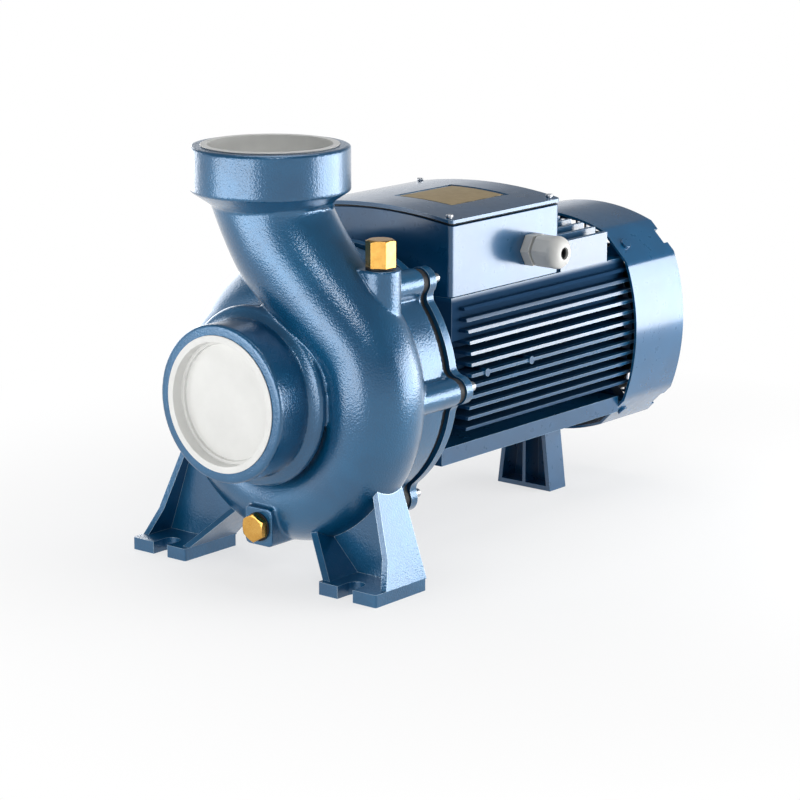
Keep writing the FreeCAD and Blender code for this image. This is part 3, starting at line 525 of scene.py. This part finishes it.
def dress(piece: bpy.types.Object, material: bpy.types.Material) -> None:
    """Give a piece its finish and its place on the pump.

    Args:
        piece: Piece to dress.
        material: Its finish.
    """
    piece.data.materials.clear()
    piece.data.materials.append(material)
    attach(piece, BODY)
    LOG.info("%s: %d faces", piece.name, len(piece.data.polygons))


def repaint(node: str, material: bpy.types.Material) -> None:
    """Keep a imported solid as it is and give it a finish.

    Args:
        node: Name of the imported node.
        material: Its finish.
    """
    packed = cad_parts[node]
    for place in packed.material_slots:
        place.material = material
    LOG.info("%s: repainted", node)


@dataclass
class CastCasing:
    """Volute casing as one casting with soft sand-cast corners."""

    node: str = "volute_casing"
    voxel_mm: float = 1.25
    quick_coarser: float = 2.0
    smooth_share: float = 0.5
    smooth_passes: int = 4
    keep_share: float = 0.42

    def build(self, enamel: bpy.types.Material) -> None:
        """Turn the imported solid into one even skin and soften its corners.

        Args:
            enamel: The casing's finish.
        """
        body = bmesh.new()
        body.from_mesh(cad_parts[self.node].data)
        bmesh.ops.remove_doubles(body, verts=body.verts, dist=WELD_MM * MM)
        mesh = bpy.data.meshes.new("pump_casing")
        body.to_mesh(mesh)
        body.free()
        piece = bpy.data.objects.new("pump_casing", mesh)
        bpy.context.scene.collection.objects.link(piece)
        skin = piece.modifiers.new("skin", "REMESH")
        skin.mode = "VOXEL"
        skin.voxel_size = self.voxel_mm * MM * 1.0
        skin.use_smooth_shade = True
        soft = piece.modifiers.new("soft", "SMOOTH")
        soft.factor = self.smooth_share
        soft.iterations = self.smooth_passes
        fewer = piece.modifiers.new("fewer", "DECIMATE")
        fewer.ratio = self.keep_share
        apply_modifiers(piece)
        piece.data.shade_smooth()
        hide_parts(self.node)
        dress(piece, enamel)


@dataclass(frozen=True)
class Softened:
    """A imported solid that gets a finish, and rounded edges where bevel_mm isn't 0."""

    node: str
    slot: Slot
    bevel_mm: float
    segments: int = 2


class PumpFinishes:
    """Every finish on the pump, made once."""

    def __init__(self) -> None:
        """Make the finishes by slot."""
        # The third colour of each enamel is its painted edge highlight
        # A matt-to-satin blue film over a sand casting: the grain breaks up every highlight
        casing = Enamel("sprayed_enamel_on_cast_iron", "#045A84", "#034E76", "#B4CFE2",
                        roughness=0.33, metallic=0.42, grain_mm=1.6, grain_depth_mm=0.22,
                        edge_mm=0.9, coat_ior=1.6, coat_roughness=0.18)
        # The same colour on a die casting: smoother, with sharper reflections
        motor = Enamel("sprayed_enamel_on_die_cast_aluminium", "#064E78", "#05456B", "#8FB6D2",
                       roughness=0.3, metallic=0.25, peel_depth_mm=0.004, edge_mm=0.8)
        # The same, with painted shade and less gloss deep between the fins; the fins' tips keep the
        # plain enamel
        finned = Enamel("sprayed_enamel_on_fins_with_painted_gap_shade", "#064E78", "#05456B", "#8FB6D2",
                        roughness=0.3, peel_depth_mm=0.004, edge_mm=0.8, fin_gap_shade=FinGapShade())
        # A flat film on drawn sheet: long clean reflections
        cowl = Enamel("sprayed_enamel_on_pressed_steel", "#065580", "#054C75", "#8FB6D2",
                      roughness=0.3, metallic=0.25, peel_depth_mm=0.004, edge_mm=0.8)
        # Thick dipped paint that rounds the wires and dulls them
        mesh_paint = Enamel("dipped_enamel_on_steel_mesh", "#063E69", "#04304F", "#5F8DB6",
                            roughness=0.4, edge_mm=0.4)
        # Waxy white with a little light inside it
        white = Plastic("moulded_polyethylene_white", "#E0E0DD", "#DADAD7", 0.42, scatter=0.08)
        # Fine dull skin of a moulded gland
        grey = Plastic("moulded_polyamide_light_grey", "#C9C9C6", "#BDBDBA", 0.5)
        # Nearly black and dull, seen only through the mesh
        black = Plastic("moulded_polyamide_black", "#141518", "#0E0F11", 0.5)
        # Warm yellow with turned lines and near-white corners
        brass = Metal("turned_brass", "#D8A95A", "#C9964A", "#F2D79C", 0.24)
        # Cold, pale and slightly milky
        zinc = Metal("bright_zinc_plated_steel", "#C8CBCF", "#B4B8BD", "#F2F4F6", 0.3)
        # Grey with fine cutter lines, a little dulled by air
        steel = Metal("turned_steel", "#9C9EA1", "#86888B", "#C9CBCE", 0.28)
        # Dull gold with lines brushed along the plate
        plate = Metal("anodised_aluminium_gold", "#C9B48C", "#BDA77E", "#DDCDAC", 0.45,
                      stretch=(1.0, 0.05, 1.0))
        # Black that takes up light, with a grey bloom
        rubber = Rubber("moulded_nitrile_rubber")
        self.by_slot = {
            Slot.CASING: casing.make(), Slot.MOTOR: motor.make(), Slot.COWL: cowl.make(),
            Slot.GRILLE: mesh_paint.make(), Slot.WHITE: white.make(), Slot.GREY: grey.make(),
            Slot.FAN: black.make(), Slot.BRASS: brass.make(), Slot.ZINC: zinc.make(),
            Slot.SHAFT: steel.make(), Slot.PLATE: plate.make(), Slot.RUBBER: rubber.make(),
        }
        self.by_node = {"motor_frame": finned.make()}

    def of(self, node: str, slot: Slot) -> bpy.types.Material:
        """Finish of a node: its own one, or else its slot's."""
        return self.by_node.get(node, self.by_slot[slot])


@dataclass(frozen=True)
class Softbox:
    """Rectangular lamp on a stand that faces the pump."""

    name: str
    place: tuple[float, float, float]
    width: float
    height: float
    radiance: float
    aim: tuple[float, float, float] = (0.0, 0.0, 0.20)

    def hang(self) -> None:
        """Put the lamp up, turned to its aim."""
        data = bpy.data.lights.new(self.name, "AREA")
        data.shape = "RECTANGLE"
        data.size, data.size_y = self.width, self.height
        data.energy = self.radiance * math.pi * self.width * self.height
        lamp = bpy.data.objects.new(self.name, data)
        lamp.location = self.place
        lamp.rotation_mode = "QUATERNION"
        lamp.rotation_quaternion = (Vector(self.aim) - Vector(self.place)).to_track_quat("-Z", "Y")
        lamp.visible_camera = False
        bpy.context.scene.collection.objects.link(lamp)


SOFTBOXES = (
    Softbox("front_softbox", (-0.14, -1.02, 0.18), 1.00, 0.34, 4.4, (0.0, -0.2, 0.18)),
    Softbox("side_softbox", (0.66, 0.48, 0.24), 0.90, 0.42, 6.3, (0.0, 0.05, 0.23)),
    Softbox("key_softbox", (0.92, -0.95, 1.15), 0.42, 0.32, 8.5, (0.0, -0.15, 0.22)),
    Softbox("left_softbox", (-0.95, 0.10, 0.36), 0.90, 0.50, 3.0, (0.0, 0.0, 0.25)),
    Softbox("top_softbox", (0.0, 0.1, 1.70), 1.2, 1.2, 2.3),
)


@dataclass
class Studio:
    """Pale floor, soft lamps and the camera."""

    camera_place: tuple[float, float, float] = (1.5417, -1.9199, 0.6900)
    camera_azimuth: float = 39.2
    camera_elevation: float = 13.2
    lens_mm: float = 126.72
    sensor_mm: float = 36.0
    sees_from: float = 0.1
    sees_to: float = 100.0
    floor_half: float = 30.0
    floor_colour: str = "#F4F4F4"
    floor_roughness: float = 0.8
    floor_gloss: float = 0.2
    white_from: float = 0.28
    white_to: float = 0.70
    near_white: float = 0.66
    air_colour: str = "#E9EDF3"
    air_strength: float = 0.18
    sweep_from: float = 0.12
    sweep_to: float = 0.24
    ceiling: float = 0.30

    def camera(self) -> None:
        """Set up the camera at the photograph's viewing angle."""
        data = bpy.data.cameras.new("camera")
        data.sensor_width = self.sensor_mm
        data.lens = self.lens_mm
        data.clip_start = self.sees_from
        data.clip_end = self.sees_to
        camera = bpy.data.objects.new("camera", data)
        azimuth = math.radians(self.camera_azimuth)
        elevation = math.radians(self.camera_elevation)
        back = Vector((math.sin(azimuth) * math.cos(elevation),
                       -math.cos(azimuth) * math.cos(elevation), math.sin(elevation)))
        camera.location = self.camera_place
        camera.rotation_mode = "QUATERNION"
        camera.rotation_quaternion = (-back).to_track_quat("-Z", "Y")
        bpy.context.scene.collection.objects.link(camera)
        bpy.context.scene.camera = camera

    def backdrop_rays(self, tree: bpy.types.NodeTree) -> bpy.types.NodeSocket:
        """Share of 1 for rays that see the backdrop: from the camera, off gloss or through glass.

        Args:
            tree: Node tree to add to.

        Returns:
            The share's socket.
        """
        path = add_node(tree, "ShaderNodeLightPath")
        first = add_node(tree, "ShaderNodeMath", {"operation": "MAXIMUM"},
                         {0: path.outputs["Is Camera Ray"], 1: path.outputs["Is Glossy Ray"]})
        both = add_node(tree, "ShaderNodeMath", {"operation": "MAXIMUM"},
                        {0: first.outputs[0], 1: path.outputs["Is Transmission Ray"]})
        return both.outputs[0]

    def paper(self) -> bpy.types.Material:
        """Seamless paper: pale and shadowed beside the pump, pure white away from it.

        Returns:
            The finished material.
        """
        material, tree, shader = new_material("seamless_paper")
        shader.inputs["Base Color"].default_value = linear(self.floor_colour)
        shader.inputs["Roughness"].default_value = self.floor_roughness
        shader.inputs["Specular IOR Level"].default_value = self.floor_gloss
        away = add_node(tree, "ShaderNodeVectorMath", {"operation": "LENGTH"}, {0: place_of(tree)})
        fade = ramp_of(tree, away.outputs["Value"], self.white_from, self.white_to,
                       self.near_white, 1.0)
        share = add_node(tree, "ShaderNodeMath", {"operation": "MULTIPLY"},
                         {0: fade, 1: self.backdrop_rays(tree)})
        white = add_node(tree, "ShaderNodeEmission", {"Strength": 1.0})
        mix = add_node(tree, "ShaderNodeMixShader", None,
                       {0: share.outputs[0], 1: shader.outputs[0], 2: white.outputs[0]})
        tree.links.new(mix.outputs[0], tree.nodes["Material Output"].inputs["Surface"])
        return material

    def floor(self) -> None:
        """Lay a wide pale floor that fades to white away from the pump."""
        mesh = bpy.data.meshes.new("floor")
        half = self.floor_half
        mesh.from_pydata([(-half, -half, 0), (half, -half, 0), (half, half, 0), (-half, half, 0)],
                         [], [(0, 1, 2, 3)])
        floor = bpy.data.objects.new("floor", mesh)
        bpy.context.scene.collection.objects.link(floor)
        mesh.materials.append(self.paper())

    def world(self) -> None:
        """Light the air evenly; the backdrop is white and turns grey towards the ceiling."""
        world = bpy.data.worlds.new("studio_air")
        world.use_nodes = True
        tree = world.node_tree
        background = tree.nodes["Background"]
        background.inputs["Color"].default_value = linear(self.air_colour)
        way = add_node(tree, "ShaderNodeTexCoord")
        rise = add_node(tree, "ShaderNodeSeparateXYZ", None, {"Vector": way.outputs["Generated"]})
        sweep = ramp_of(tree, rise.outputs["Z"], self.sweep_from, self.sweep_to, 1.0, self.ceiling)
        strength = add_node(tree, "ShaderNodeMix", {"data_type": "FLOAT", 2: self.air_strength},
                            {0: self.backdrop_rays(tree), 3: sweep})
        tree.links.new(strength.outputs[0], background.inputs["Strength"])
        bpy.context.scene.world = world

    def build(self) -> None:
        """Set up the whole studio."""
        self.camera()
        self.floor()
        self.world()
        for softbox in SOFTBOXES:
            softbox.hang()
        bpy.context.scene.view_settings.view_transform = "Standard"


class SubAssembly:
    """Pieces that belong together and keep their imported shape, with rounded edges."""

    parts: tuple[Softened, ...] = ()

    def build(self, finishes: PumpFinishes) -> None:
        """Round the edges of every piece and dress it.

        Args:
            finishes: The pump's finishes.
        """
        LOG.info("sub-assembly: %s", type(self).__name__)
        for part in self.parts:
            finish = finishes.of(part.node, part.slot)
            if part.bevel_mm:
                piece = refined_copy(part.node, part.node + "_skin", part.bevel_mm, part.segments)
                dress(piece, finish)
            else:
                repaint(part.node, finish)


@dataclass
class FrontFeet(SubAssembly):
    """Two slotted feet, cast on the casing."""

    parts: tuple[Softened, ...] = (
        Softened("casing_foot_left", Slot.CASING, 0.9, 3),
        Softened("casing_foot_right", Slot.CASING, 0.9, 3),
    )


@dataclass
class PortPlugs(SubAssembly):
    """White transport plugs in both ports."""

    parts: tuple[Softened, ...] = (
        Softened("suction_port_plug", Slot.WHITE, 0.5),
        Softened("discharge_port_plug", Slot.WHITE, 0.5),
    )


@dataclass
class WaterPlugs(SubAssembly):
    """Brass priming and drain plugs on their washers."""

    parts: tuple[Softened, ...] = (
        Softened("priming_plug", Slot.BRASS, 0.35),
        Softened("priming_plug_washer", Slot.RUBBER, 0.3),
        Softened("drain_plug", Slot.BRASS, 0.35),
        Softened("drain_plug_washer", Slot.RUBBER, 0.3),
    )


@dataclass
class CasingJoint(SubAssembly):
    """Gasket, lugged bracket ring and the studs through both."""

    stud_count: int = 6
    parts: tuple[Softened, ...] = (
        Softened("casing_gasket", Slot.RUBBER, 0.5),
        Softened("motor_bracket", Slot.CASING, 1.2, 3),
    )

    def __post_init__(self) -> None:
        """Add the studs."""
        self.parts += tuple(Softened("casing_stud_%d" % (number + 1), Slot.ZINC, 0.4)
                            for number in range(self.stud_count))


@dataclass
class Motor(SubAssembly):
    """Finned frame on its base block, with the end shield and the rear foot."""

    parts: tuple[Softened, ...] = (
        Softened("motor_frame", Slot.MOTOR, 0.45),
        Softened("motor_base", Slot.MOTOR, 0.6),
        Softened("rear_shield", Slot.MOTOR, 0.6),
        Softened("rear_foot", Slot.MOTOR, 0.8),
        Softened("rear_foot_bolts", Slot.ZINC, 0.3),
    )


@dataclass
class TerminalBox(SubAssembly):
    """Box with its seal, arched lid, screws and bare name plate."""

    parts: tuple[Softened, ...] = (
        Softened("terminal_box", Slot.MOTOR, 1.0, 3),
        Softened("box_gasket", Slot.RUBBER, 0.2),
        Softened("box_lid", Slot.MOTOR, 0.7, 3),
        Softened("lid_screws", Slot.ZINC, 0.4),
        Softened("name_plate", Slot.PLATE, 0.12, 1),
    )


@dataclass
class CableGland(SubAssembly):
    """Grey plastic gland with its seal."""

    parts: tuple[Softened, ...] = (
        Softened("gland_body", Slot.GREY, 0.5),
        Softened("gland_cap", Slot.GREY, 0.7, 3),
        Softened("gland_seal", Slot.RUBBER, 0.3),
    )


@dataclass
class FanUnit(SubAssembly):
    """Cowl with its grille and screws, and the fan on the shaft's end."""

    parts: tuple[Softened, ...] = (
        Softened("fan_cowl", Slot.COWL, 0.8, 3),
        Softened("fan_grille", Slot.GRILLE, 0.0),
        Softened("cowl_screws", Slot.COWL, 0.5),
        Softened("cooling_fan", Slot.FAN, 0.5),
        Softened("fan_shaft", Slot.SHAFT, 0.5),
    )


def main() -> None:
    """Build and dress the pump, then the studio."""
    logging.basicConfig(level=logging.INFO, format="%(name)s: %(message)s")
    finishes = PumpFinishes()
    Studio().build()
    CastCasing().build(finishes.of("volute_casing", Slot.CASING))
    for assembly in (FrontFeet(), PortPlugs(), WaterPlugs(), CasingJoint(), Motor(), TerminalBox(),
                     CableGland(), FanUnit()):
        assembly.build(finishes)


if __name__ == "__main__":
    main()
